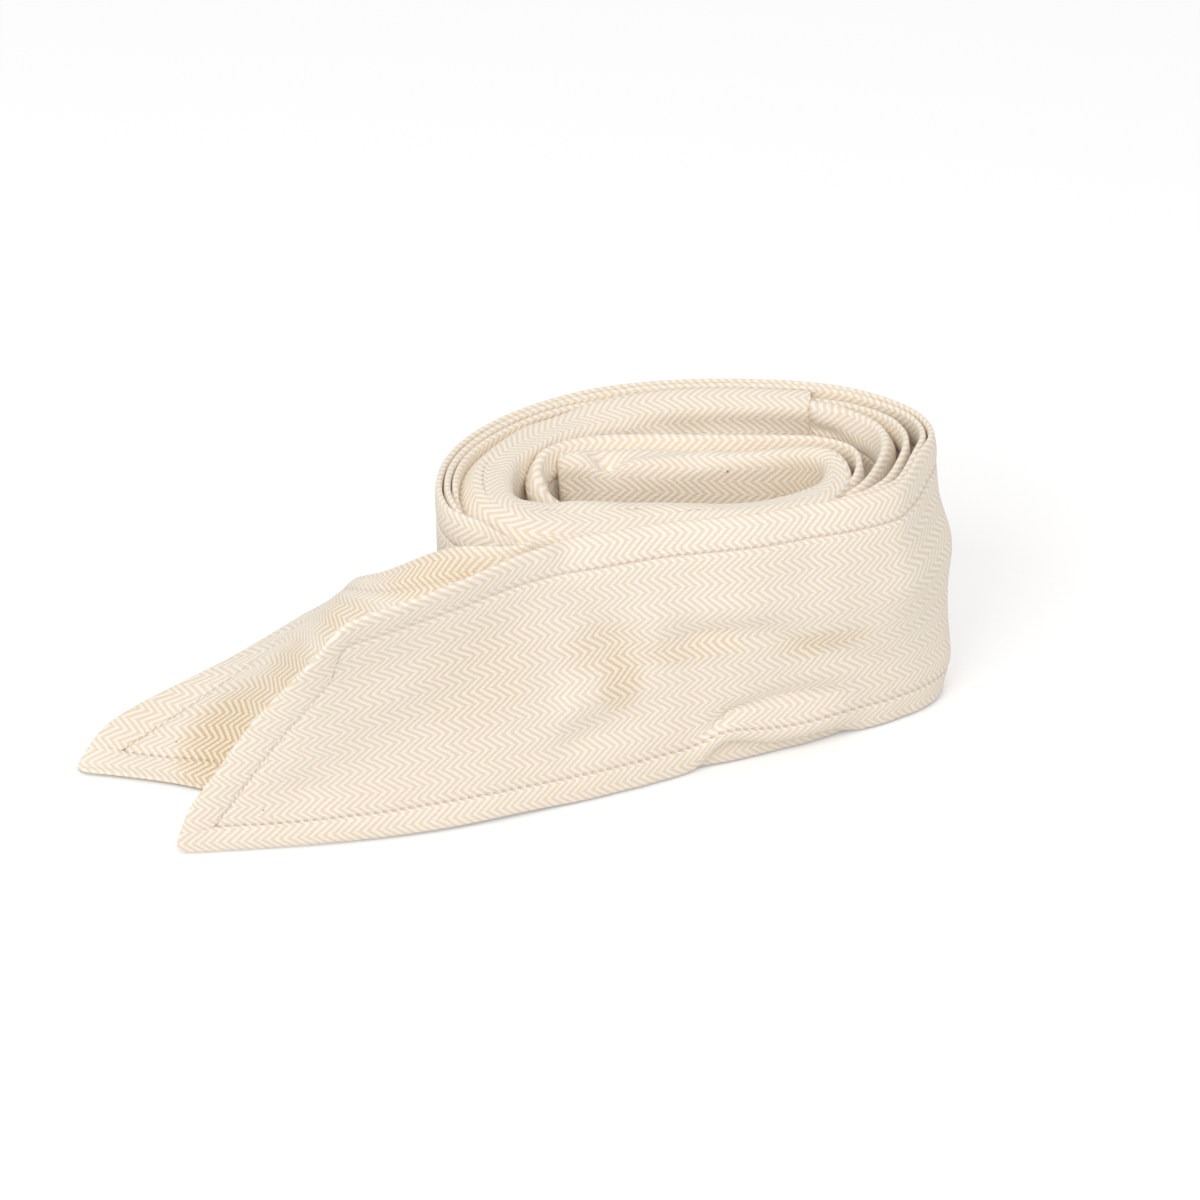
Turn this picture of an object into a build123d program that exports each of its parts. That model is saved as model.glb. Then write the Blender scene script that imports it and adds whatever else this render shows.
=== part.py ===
"""Padded cotton arm sling, rolled up on its long edge with both tie ends lying free.

A 105 mm wide band: two tie bands of doubled herringbone cotton, sewn to the two ends of
a wadded arm pad.  The band is folded at the far end of the pad and wound into an oval
roll that stands on its edge.  Millimetres, +Z up, the roll stands on z = 0.
"""
from build123d import *
import math
import os

# ---- driving dimensions -------------------------------------------------------------
BAND_WIDTH = 105.0        # finished width of the ties, the height of the standing roll
PLY = 1.0                 # thickness of one ply of cloth
PLY_GAP = 0.05            # air between the two plies of a tie
TIE_HALF = PLY + PLY_GAP / 2
HEM = 11.6                # distance of the topstitching from the edges
THREAD_WIDTH = 0.7        # width of a line of stitching
THREAD_HEIGHT = 0.3       # how far the thread stands proud of the cloth
THREAD_LIFT = 0.05        # the lines of thread lie just clear of a wound ply
TAIL_LIFT = 1.0           # and of a leaning one, whose facets they bridge
LIFT_EASE = 0.35          # share of a tail's length over which that lift grows
PAD_HEIGHT = 104.0        # width of the padded length
PAD_BASE = 0.0
WADDING_INSET = 1.5       # the wadding stops short of the cover's edges
WADDING_GAP = 0.25        # ease between the wadding and the cover
CUT_LENGTH = 62.0         # how far the slanted end of a tie reaches along the band
TIP_HEIGHT = 5.0          # blunt end of the rounded tip
HINGE_GAP = 4.0           # free length left in the cloth at each swinging tie
SAMPLE_STEP = 7.0         # spacing of the points that carry an offset line
ORIGIN = (-32.56, 11.08)  # plan point under the middle of the whole, moved to (0, 0)

# ---- plan routes, from the outside of the roll inwards (x, y) -----------------------
FRONT_TIE_ROUTE = [
    # first turn: front, right end, back, left end
    (-14, -29.6), (0, -23.7), (14.5, -17.3), (33.5, -12.2), (52.5, -7.4), (71, -1.2),
    (90, 8.7), (104, 21.5), (114, 36.8), (117.5, 53.8), (113.5, 66.5), (102.5, 78.5), (90, 86.5),
    (75, 91), (55, 93), (36, 93), (18, 90.8), (0, 86.2), (-21, 75), (-41, 56),
    (-53, 34), (-56, 15.5), (-53, -2), (-46, -13.5), (-34, -20), (-19, -21.9),
    # second turn
    (-2, -18.4), (12.4, -12.2), (31.5, -7.3), (50.5, -2.5), (69, 3.5), (86, 12.3),
    (98, 23.5), (105.5, 36.8), (108, 52.6), (104, 63.5), (95.5, 74), (87, 80.5),
    (75, 85.6), (55, 87.7), (36, 87.7), (18, 85.5), (1, 81), (-18, 70.5), (-37, 52.5),
    (-48, 33), (-50.5, 15.5), (-48, 0), (-42, -10.2), (-31.6, -15.5), (-18.4, -16.9),
    # third turn, round the core
    (-4, -13.5), (10, -7.1), (29.5, -2.3), (48.5, 2.4), (66, 8.2), (82, 18),
    (91, 28.3), (89.5, 43.1), (79, 50.6), (60, 52.4), (36, 52.8), (10, 53), (-7, 50.5),
    (-18.5, 43), (-22.5, 33), (-19.5, 25), (-13.5, 23.6),
]
REAR_TIE_ROUTE = [
    # first turn
    (-23, -30.8), (-15, -27.3), (-1, -21.2), (13.5, -14.8), (32.5, -9.7), (51.5, -4.9), (70, 1.1),
    (88.6, 10.7), (102, 23), (111.7, 38.2), (115, 53.8), (111.3, 65.3), (101, 76.4),
    (89.2, 84), (74.6, 88.5), (55, 90.4), (36, 90.4), (18.4, 88.2), (1, 83.7),
    (-19.6, 73), (-39, 54.5), (-50.6, 33.3), (-53.4, 15.5), (-50.6, -1),
    (-44, -11.8), (-32.8, -17.7), (-18.7, -19.4),
    # second turn, ending at the pad
    (-3, -16), (11.4, -9.6), (30.5, -4.8), (49.5, 0), (67.6, 5.9), (83.5, 14.5),
    (94, 25.5), (100, 40.8), (101, 53.8), (98, 62.5), (91, 70), (84, 74.5), (76.5, 77.2),
]
PAD_ROUTE = [
    # (x, y, half thickness): back, left end, front, right end, core
    (75, 78.0, 5.4), (55, 79.8, 6.0), (36, 79.8, 6.0), (18, 77.5, 6.0), (4, 73.2, 6.2),
    (-13, 63.5, 6.8), (-28.5, 48, 7.6), (-38, 30.5, 8.8), (-38.8, 15, 9.4),
    (-34, 2.5, 9.4), (-22, -4.3, 9.6), (-6, -2.3, 9.0), (10, 1.5, 6.7), (27, 5.2, 5.8),
    (45, 8.6, 5.1), (60, 13, 4.9), (73, 20.2, 4.8), (81.3, 30.2, 4.7), (81, 40, 4.8),
    (73, 44.6, 5.4), (60, 43, 6.4), (36, 42, 7.0), (12, 41.2, 7.0), (-1, 40.2, 6.8),
    (-9.5, 39, 5.6),
]
FRONT_TAIL_ROUTE = [(-14, -29.6), (-33, -37.5), (-54, -44.8), (-82, -50.5), (-112, -54.2),
                    (-143, -56.2)]
REAR_TAIL_ROUTE = [(-23, -30.8), (-40, -36.6), (-60, -41.8), (-80, -43), (-100, -38.5),
                   (-120, -28), (-137, -19), (-160, -13), (-184, -9.5)]

# lean of the standing cloth at a share of the tail's length, in degrees from upright,
# backwards positive: (share, lowest third, middle, upper third, sideways lead per height)
FRONT_TAIL_LEAN = [(0.0, 0, 0, 0, 0.0), (0.2, 0, 0, -3, -0.01), (0.4, 0, -3, -12, -0.04),
                   (0.6, -3, -12, -28, -0.06), (0.8, -5, -10, -22, -0.05),
                   (1.0, -5, -7, -10, 0.0)]
REAR_TAIL_LEAN = [(0.0, 0, 0, 0, 0.0), (0.12, 0, 2, 12, 0.05), (0.27, -2, 6, 45, 0.12),
                  (0.45, -4, 15, 66, 0.2), (0.62, 34, -10, 74, 0.3),
                  (0.78, 78, 62, 72, 0.3), (0.9, 72, 70, 68, 0.3), (1.0, 68, 68, 68, 0.3)]
TAIL_STATIONS = 22        # sections along a tail
PROFILE_STEPS = 6         # straight pieces across the width of a tail

# ---- tucks and seams where the ties meet the pad -------------------------------------
TUCK_LENGTH = 22.0
TUCK_HEIGHT = 7.0
TUCK_DEPTH = 1.6
TUCK_LEVELS = (34.0, 88.0)
SEAM_THREAD = 0.6
SEAM_MARGIN = 4.0


def plan_spline(points):
    """A smooth plan curve through (x, y, ...) points."""
    return Spline(*[Vector(p[0], p[1], 0) for p in points])


def stations(route, start=0.0, end=None):
    """Evenly spaced (length, point, unit normal to the left) along a plan curve."""
    end = route.length if end is None else end
    count = max(2, round((end - start) / SAMPLE_STEP))
    rows = []
    for index in range(count + 1):
        length = start + (end - start) * index / count
        point = route.position_at(length, position_mode=PositionMode.LENGTH)
        tangent = route.tangent_at(length, position_mode=PositionMode.LENGTH)
        rows.append((length, point, Vector(-tangent.Y, tangent.X, 0)))
    return rows


def ribbon(route, side_a, side_b, low, high, start=0.0, end=None):
    """A standing ribbon between two offsets of a plan curve, from z = low to z = high.

    An offset is a number, or a function of the length along the curve; left is positive.
    """
    offset_a = side_a if callable(side_a) else lambda _: side_a
    offset_b = side_b if callable(side_b) else lambda _: side_b
    rows = stations(route, start, end)
    line_a = Spline(*[point + normal * offset_a(length) for length, point, normal in rows])
    line_b = Spline(*[point + normal * offset_b(length) for length, point, normal in rows])
    caps = [Line(line_a @ 0, line_b @ 0), Line(line_a @ 1, line_b @ 1)]
    outline = Wire([line_a, caps[1], line_b, caps[0]])
    return extrude(Face(outline), amount=high - low, dir=(0, 0, 1)).moved(Location((0, 0, low)))


def between(table, share):
    """Interpolate the rows of a (share, value, value, ...) table."""
    for low, high in zip(table, table[1:]):
        if share <= high[0]:
            mix = (share - low[0]) / (high[0] - low[0])
            return [a + (b - a) * mix for a, b in zip(low[1:], high[1:])]
    return list(table[-1][1:])


def pad_half(length):
    """Half the pad's thickness at a length along its route."""
    return between(PAD_THICKNESS, length / pad_route.length)[0]


def cut_width(distance_to_tip):
    """Width of a tie at a distance from its tip: full, then tapering along the cut."""
    share = min(1.0, distance_to_tip / CUT_LENGTH)
    return TIP_HEIGHT + (BAND_WIDTH - TIP_HEIGHT) * share


def profile_point(leans, width, offset):
    """(back, up) of a point at a width up the leaning cloth, and off its middle."""
    back = 0.0
    up = 0.0
    step = BAND_WIDTH / 30
    walked = 0.0
    angle = math.radians(leans[0])
    while walked < width - 1e-6:
        piece = min(step, width - walked)
        share = (walked + piece / 2) / BAND_WIDTH
        angle = math.radians(between([(0, leans[0]), (0.17, leans[0]), (0.5, leans[1]),
                                      (0.83, leans[2]), (1, leans[2])], share)[0])
        back += piece * math.sin(angle)
        up += piece * math.cos(angle)
        walked += piece
    return back + offset * math.cos(angle), max(up - offset * math.sin(angle), 0.0)


def facet_point(leans, high, width, offset):
    """(back, up) at a width on the straight pieces that a tail's ply is built of."""
    piece = high / PROFILE_STEPS
    step = min(int(width / piece), PROFILE_STEPS - 1)
    mix = width / piece - step
    near = profile_point(leans, step * piece, offset)
    far = profile_point(leans, (step + 1) * piece, offset)
    return near[0] + (far[0] - near[0]) * mix, near[1] + (far[1] - near[1]) * mix


def stitch_lift(share):
    """Clearance of a tail's stitching, at a share of the tail's length from the roll."""
    return THREAD_LIFT + (TAIL_LIFT - THREAD_LIFT) * min(1.0, share / LIFT_EASE)


def stitch_top(share):
    """Offset of the outside of a tail's stitching."""
    return -TIE_HALF - THREAD_HEIGHT - stitch_lift(share)


def stitch_foot(share):
    """Offset of the side of a tail's stitching that faces the cloth."""
    return -TIE_HALF - stitch_lift(share)


def tail_section(route, table, length, span, side_a, side_b):
    """Closed section of a tail between two offsets and between two widths.

    An offset is a number, or a function of the share of the tail's length.
    """
    point = route.position_at(length, position_mode=PositionMode.LENGTH)
    along = route.tangent_at(length, position_mode=PositionMode.LENGTH)
    backward = Vector(along.Y, -along.X, 0)
    *leans, lead = between(table, length / route.length)
    distance = route.length - length
    low, high = span(distance)
    steps = PROFILE_STEPS if span is full_span else 1
    widths = [low + (high - low) * step / steps for step in range(steps + 1)]
    corners = []
    for offset, row in ((side_a, widths), (side_b, widths[::-1])):
        side = offset(length / route.length) if callable(offset) else offset
        for width in row:
            back, up = facet_point(leans, cut_width(distance), width, side)
            corners.append(point + backward * back - along * (lead * up) + Vector(0, 0, up))
    return Wire.make_polygon(corners, close=True)


def tail_solid(route, table, span, side_a, side_b, margin=0.0):
    """Loft a tail's ply, or a line of stitching on it, through its sections."""
    first = HINGE_GAP
    last = route.length - margin
    sections = []
    for index in range(TAIL_STATIONS + 1):
        length = first + (last - first) * index / TAIL_STATIONS
        sections.append(tail_section(route, table, length, span, side_a, side_b))
    return Solid.make_loft(sections, ruled=True)


def full_span(distance):
    """The whole width of the tie."""
    return 0.0, cut_width(distance)


def low_stitch_span(distance):
    """The line of stitching above the lower edge."""
    return HEM - THREAD_WIDTH / 2, HEM + THREAD_WIDTH / 2


def high_stitch_span(distance):
    """The line of stitching below the upper and the slanted edge."""
    centre = cut_width(max(distance - HEM, 0)) - HEM * 0.9
    return centre - THREAD_WIDTH / 2, centre + THREAD_WIDTH / 2


def save(name, *solids):
    """Write one sub-part."""
    home = Location((-ORIGIN[0], -ORIGIN[1], 0))
    placed = [solid.moved(home) for solid in solids]
    shape = placed[0] if len(placed) == 1 else Compound(children=placed)
    export_step(shape, f"parts/{name}.step")


def tie_plies(name, route, start):
    """Both plies of a wound tie and its two lines of topstitching."""
    save(f"{name}_outer_ply", ribbon(route, -TIE_HALF, -PLY_GAP / 2, 0, BAND_WIDTH, start))
    save(f"{name}_inner_ply", ribbon(route, PLY_GAP / 2, TIE_HALF, 0, BAND_WIDTH, start))
    lines = []
    for level in (HEM, BAND_WIDTH - HEM):
        lines.append(ribbon(route, -TIE_HALF - THREAD_HEIGHT, -TIE_HALF - THREAD_LIFT,
                            level - THREAD_WIDTH / 2, level + THREAD_WIDTH / 2, start))
    save(f"{name}_topstitching", *lines)


def tail_plies(name, route, table):
    """Both plies of a free tail and its topstitching."""
    save(f"{name}_outer_ply", tail_solid(route, table, full_span, -TIE_HALF, -PLY_GAP / 2))
    save(f"{name}_inner_ply", tail_solid(route, table, full_span, PLY_GAP / 2, TIE_HALF))
    lines = []
    for span in (low_stitch_span, high_stitch_span):
        lines.append(tail_solid(route, table, span, stitch_top, stitch_foot,
                                margin=HEM * 1.9))
    save(f"{name}_topstitching", *lines)


def pad_pieces():
    """Cover and wadding of the arm pad."""
    save("pad_cover_outer_face",
         ribbon(pad_route, lambda s: -pad_half(s), lambda s: PLY - pad_half(s),
                PAD_BASE, PAD_HEIGHT))
    save("pad_cover_inner_face",
         ribbon(pad_route, lambda s: pad_half(s) - PLY, pad_half, PAD_BASE, PAD_HEIGHT))
    save("pad_wadding",
         ribbon(pad_route, lambda s: PLY + WADDING_GAP - pad_half(s),
                lambda s: pad_half(s) - PLY - WADDING_GAP,
                PAD_BASE + WADDING_INSET, PAD_HEIGHT - WADDING_INSET,
                WADDING_INSET, pad_route.length - WADDING_INSET))


def tucks(route, side):
    """Two tucks that gather a tie into the pad, lying on one face of its end."""
    near = route.length - TUCK_LENGTH
    last = route.length - SEAM_THREAD
    inner = (TIE_HALF + THREAD_LIFT * 2) * side
    outer = (TIE_HALF + TUCK_DEPTH) * side
    return [ribbon(route, inner, outer, level, level + TUCK_HEIGHT, near, last)
            for level in TUCK_LEVELS]


def join_seam(point, half):
    """The line of thread that closes a join, standing along the band's end."""
    thread = Box(SEAM_THREAD, 2 * half, PAD_HEIGHT - 2 * SEAM_MARGIN)
    return thread.moved(Location((point[0], point[1], PAD_HEIGHT / 2)))


os.makedirs("parts", exist_ok=True)
front_tie_route = plan_spline(FRONT_TIE_ROUTE)
rear_tie_route = plan_spline(REAR_TIE_ROUTE)
pad_route = plan_spline(PAD_ROUTE)
front_tail_route = plan_spline(FRONT_TAIL_ROUTE)
rear_tail_route = plan_spline(REAR_TAIL_ROUTE)

chords = [0.0]
for (x0, y0, _), (x1, y1, _) in zip(PAD_ROUTE, PAD_ROUTE[1:]):
    chords.append(chords[-1] + math.hypot(x1 - x0, y1 - y0))
PAD_THICKNESS = [(chord / chords[-1], row[2]) for chord, row in zip(chords, PAD_ROUTE)]

tie_plies("front_tie", front_tie_route, 0.0)
tie_plies("rear_tie", rear_tie_route, 0.0)
pad_pieces()
tail_plies("front_tail", front_tail_route, FRONT_TAIL_LEAN)
tail_plies("rear_tail", rear_tail_route, REAR_TAIL_LEAN)
save("rear_join_tucks", *tucks(rear_tie_route, 1))
save("front_join_tucks", *tucks(front_tie_route, 1))
save("rear_join_seam", join_seam((75.7, 77.6), 2.6))
save("front_join_seam", join_seam((-10.6, 38.6), 4.6))

print("front tie", round(front_tie_route.length), "rear tie", round(rear_tie_route.length),
      "pad", round(pad_route.length), "tails", round(front_tail_route.length),
      round(rear_tail_route.length))
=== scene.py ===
"""Padded arm sling: herringbone cotton ties and a wadded arm pad, wound into a standing roll.

All sizes below are in millimetres, in the plan that the roll was laid out in; `home` moves a
point of that plan into the frame, in metres.
"""
import logging
import math
from dataclasses import dataclass
from enum import Enum
from typing import Sequence

import bmesh
import bpy
import numpy as np
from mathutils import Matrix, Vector, noise


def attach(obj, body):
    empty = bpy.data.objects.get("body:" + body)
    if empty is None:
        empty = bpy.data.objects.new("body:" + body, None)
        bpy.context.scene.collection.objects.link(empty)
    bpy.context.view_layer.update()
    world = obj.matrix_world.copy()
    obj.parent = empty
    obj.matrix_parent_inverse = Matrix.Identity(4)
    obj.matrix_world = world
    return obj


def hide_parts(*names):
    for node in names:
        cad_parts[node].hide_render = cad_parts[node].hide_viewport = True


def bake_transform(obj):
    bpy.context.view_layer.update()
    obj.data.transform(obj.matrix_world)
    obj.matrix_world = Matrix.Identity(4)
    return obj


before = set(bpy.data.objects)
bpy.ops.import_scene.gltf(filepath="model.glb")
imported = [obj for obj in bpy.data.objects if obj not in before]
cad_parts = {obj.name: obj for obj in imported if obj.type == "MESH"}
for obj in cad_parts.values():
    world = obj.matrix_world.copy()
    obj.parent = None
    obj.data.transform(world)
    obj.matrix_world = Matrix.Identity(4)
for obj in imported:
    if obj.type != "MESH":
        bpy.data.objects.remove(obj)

log = logging.getLogger("sling")

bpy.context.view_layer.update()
MM = 0.001
PER_METRE = 1000.0
WELD = 1e-6                # metres below which vertices are merged
ORIGIN = np.array((-32.56, 11.08, 0.0))   # plan point that the frame's origin stands on
BAND_WIDTH = 105.0
HEM = 11.6                 # topstitching from the edge
STITCH_PITCH = 3.0
CHEVRON_REACH = 5.06       # one arm of a chevron across the band
WALE_ALONG = 3.0           # spacing of the chevrons along the band
WALE_ACROSS = 2.75
HALF_TIE = 1.02            # half the thickness of a doubled tie
CUT_LENGTH = 62.0          # reach of the slanted cut along the band
TIP = 12.0                 # width left at the blunt end of the cut
UPPER_HEM = 93.0           # height above which the wound band tips inwards
FRONT_SLOPE = 0.32         # how the front of the roll slants on plan
TUCK_LEVELS = (38.0, 88.0)
LINE_POINTS = 4            # points of a plan line to the millimetre
STATION = 2.0              # steps of the tables of leans

Array = np.ndarray
Pair = tuple[float, float]
Triple = tuple[float, float, float]
Row = tuple[float, ...]
Faces = list[tuple[int, ...]]


class Hold(Enum):
    """How a piece of cloth is held."""

    FOLDED = "folded"


class Face(Enum):
    """The two faces of a band: OUTER looks away from the roll's middle."""

    OUTER = 1.0
    INNER = -1.0


def home(points: Array) -> Array:
    """Move plan points in millimetres into the frame, in metres."""
    return (np.asarray(points, float) - ORIGIN) * MM


def smooth(low: float, high: float, value: Array) -> Array:
    """Rise smoothly from 0 at low to 1 at high; low may be the greater.

    Args:
        low: value where the result is 0.
        high: value where the result is 1.
        value: values to grade.

    Returns:
        The graded values.
    """
    share = np.clip((np.asarray(value, float) - low) / (high - low), 0.0, 1.0)
    return share * share * (3 - 2 * share)


def bell(distance: Array, width: float) -> Array:
    """A soft hump of height 1, width wide at about a third of its height."""
    return np.exp(-(np.asarray(distance, float) / width) ** 2)


def soften(rows: Array, count: int) -> Array:
    """Average rows of values with their neighbours in the same column.

    Args:
        rows: (n, m) values.
        count: how many rows the average reaches over, odd.

    Returns:
        The averaged values, of the same shape.
    """
    window = np.hanning(count + 2)[1:-1]
    wide = np.pad(rows, ((count // 2, count // 2), (0, 0)), mode="edge")
    columns = [np.convolve(column, window / window.sum(), mode="valid") for column in wide.T]
    return np.stack(columns, -1)


def walked(points: Array) -> Array:
    """Length walked along points up to each of them."""
    return np.concatenate(([0.0], np.cumsum(np.linalg.norm(np.diff(points, axis=0), axis=1))))


def leftwards(tangents: Array) -> Array:
    """Plan directions to the left of tangents, which is inwards in the roll."""
    return np.stack((-tangents[:, 1], tangents[:, 0]), -1)


def ripple(points: Array, scale: float, seed: float) -> Array:
    """Smooth noise from -1 to 1 at points.

    Args:
        points: (n, 2) or (n, 3) positions in millimetres.
        scale: size of the ripples in millimetres.
        seed: moves the pattern.

    Returns:
        One value per point.
    """
    flat = np.zeros((len(points), 3))
    flat[:, : points.shape[1]] = points / scale
    flat += seed
    return np.array([noise.noise(Vector(row)) for row in flat])


class PlanCurve:
    """A smooth plan line through points, walked by its own length."""

    def __init__(self, points: Sequence[Sequence[float]]) -> None:
        """Fit a natural cubic through the points' first two numbers."""
        knots = np.array([p[:2] for p in points], float)
        chord = walked(knots)
        bend = self._bends(chord, knots)
        walk = np.linspace(0, chord[-1], int(chord[-1] * LINE_POINTS))
        i = np.clip(np.searchsorted(chord, walk, side="right") - 1, 0, len(chord) - 2)
        gap = (chord[i + 1] - chord[i])[:, None]
        a = (chord[i + 1] - walk)[:, None] / gap
        b = 1 - a
        cubic = (a**3 - a) * bend[i] + (b**3 - b) * bend[i + 1]
        self.points = a * knots[i] + b * knots[i + 1] + cubic * gap * gap / 6
        self.lengths = walked(self.points)
        self.length = float(self.lengths[-1])
        run = np.gradient(self.points, axis=0)
        self.tangents = run / np.linalg.norm(run, axis=1)[:, None]

    @staticmethod
    def _bends(chord: Array, knots: Array) -> Array:
        """Second derivatives at the knots, nought at both ends."""
        count = len(chord)
        matrix = np.eye(count)
        right = np.zeros((count, 2))
        for k in range(1, count - 1):
            before = chord[k] - chord[k - 1]
            after = chord[k + 1] - chord[k]
            matrix[k, k - 1 : k + 2] = before, 2 * (before + after), after
            right[k] = 6 * ((knots[k + 1] - knots[k]) / after - (knots[k] - knots[k - 1]) / before)
        return np.linalg.solve(matrix, right)

    def at(self, where: Array) -> tuple[Array, Array]:
        """Points and unit tangents at lengths along the line."""
        point = [np.interp(where, self.lengths, self.points[:, k]) for k in (0, 1)]
        tangent = [np.interp(where, self.lengths, self.tangents[:, k]) for k in (0, 1)]
        return np.stack(point, -1), np.stack(tangent, -1)

    def nearest(self, x: float, y: float) -> float:
        """Length along the line of its point nearest to (x, y)."""
        gaps = np.hypot(self.points[:, 0] - x, self.points[:, 1] - y)
        return float(self.lengths[int(np.argmin(gaps))])


@dataclass(frozen=True)
class Fold:
    """A crease or ridge pressed into standing cloth, drawn from one place to another.

    Places are (along, height); depth is inward, so a ridge has a negative depth.
    """

    start: Pair
    end: Pair
    depth: float
    width: float

    def press(self, along: Array, height: Array) -> Array:
        """How deep the fold presses at each place."""
        run = np.array(self.end) - np.array(self.start)
        size = float(run @ run)
        share = ((along - self.start[0]) * run[0] + (height - self.start[1]) * run[1]) / size
        near = np.clip(share, 0, 1)
        gap = np.hypot(along - self.start[0] - near * run[0], height - self.start[1] - near * run[1])
        taper = 0.45 + 0.55 * np.sin(np.pi * np.clip(share, 0, 1))
        return self.depth * bell(gap, self.width) * taper


@dataclass(frozen=True)
class Slump:
    """How the whole roll has settled.

    At the front the walls lean out above and their hems are drawn in at the floor, both by
    (x, how far), and folds run across them.  The right end spreads at the floor and bulges half
    way up.
    """

    foot: tuple[Pair, ...] = (
        (14, 0), (25, 2.5), (32, 5), (46, 6), (53, 7), (65, 9), (72, 9.2), (90, 12), (104, 8.5),
        (113, 4), (119, 0))
    brow: tuple[Pair, ...] = (
        (-16, 0), (0, 1.8), (12, 2.5), (31, 3), (51, 4.3), (63, 3.8), (71, 3.6), (80, 5.4), (90, 7.6),
        (103, 11.5), (108, 8.5), (114, 1.5), (118, 0))
    spread: float = 12.0
    bulge: float = 3.2
    folds: tuple[Fold, ...] = (
        Fold((-9, 82), (12, 50), 3.4, 6.5),
        Fold((15, 82), (23, 58), -2.0, 7.5),
        Fold((26, 61), (56, 59), 2.9, 4.4),
        Fold((56, 59), (96, 30), 2.7, 4.8),
        Fold((30, 73), (80, 62), -1.6, 7.5),
        Fold((-38, 33), (4, 45), -2.8, 8),
        Fold((-30, 22), (12, 30), 1.9, 7),
        Fold((100, 66), (117, 64), -2.2, 7),
    )

    def settle(self, points: Array) -> Array:
        """Move plan points of the wound cloth to where they have settled."""
        moved = np.array(points, float)
        x, y, z = points.T
        low = np.clip(1 - z / BAND_WIDTH, 0, 1)
        front = smooth(FRONT_SLOPE * x + 18, FRONT_SLOPE * x - 6, y)
        foot = np.interp(x, *np.array(self.foot).T)
        brow = np.interp(x, *np.array(self.brow).T)
        moved[:, 1] += (foot * low**1.7 - brow * smooth(18, 84, z)) * front
        swell = self.spread * low**1.1 + self.bulge * bell(z - 62, 13) - 4.5 * smooth(16, 0, z)
        moved[:, 0] += smooth(70, 122, x) * swell
        press = np.zeros(len(points))
        for fold in self.folds:
            press += fold.press(x, z)
        moved[:, 1] += press * front * smooth(116, 104, x)
        return moved


SLUMP = Slump()


def put(name: str, data: bpy.types.ID) -> bpy.types.Object:
    """Put a new object made of data into the scene."""
    obj = bpy.data.objects.new(name, data)
    bpy.context.scene.collection.objects.link(obj)
    return obj


@dataclass
class MeshPiece:
    """Vertices, faces and two UV maps of a piece before it becomes an object."""

    name: str
    verts: Array
    faces: Faces
    weave: Array
    stitch: Array

    def build(self) -> bpy.types.Object:
        """Make the object, its UV maps and smooth shading."""
        mesh = bpy.data.meshes.new(self.name)
        mesh.from_pydata(home(self.verts).tolist(), [], self.faces)
        loops = np.zeros(len(mesh.loops), int)
        mesh.loops.foreach_get("vertex_index", loops)
        for title, values in (("weave", self.weave), ("stitch", self.stitch)):
            layer = mesh.uv_layers.new(name=title)
            layer.data.foreach_set("uv", (values[loops] * MM).astype(np.float32).ravel())
        obj = put(self.name, mesh)
        shell = bmesh.new()
        shell.from_mesh(mesh)
        bmesh.ops.remove_doubles(shell, verts=shell.verts, dist=WELD)
        bmesh.ops.dissolve_degenerate(shell, edges=shell.edges, dist=WELD)
        bmesh.ops.recalc_face_normals(shell, faces=shell.faces)
        shell.to_mesh(mesh)
        shell.free()
        mesh.polygons.foreach_set("use_smooth", [True] * len(mesh.polygons))
        mesh.update()
        return obj


def pick(*objs: bpy.types.Object) -> None:
    """Select these objects alone; the first one becomes active."""
    bpy.ops.object.select_all(action="DESELECT")
    for obj in objs:
        obj.select_set(True)
    bpy.context.view_layer.objects.active = objs[0]


def apply_modifier(obj: bpy.types.Object, modifier: bpy.types.Modifier) -> None:
    """Turn a modifier's result into the object's own mesh."""
    pick(obj)
    bpy.ops.object.modifier_apply(modifier=modifier.name)


def tube_faces(rows: int, ring: int) -> Faces:
    """Quads of a closed tube of rows rings."""
    faces = []
    for r in range(rows - 1):
        for k in range(ring):
            n = (k + 1) % ring
            faces.append((r * ring + k, r * ring + n, (r + 1) * ring + n, (r + 1) * ring + k))
    return faces


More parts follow.
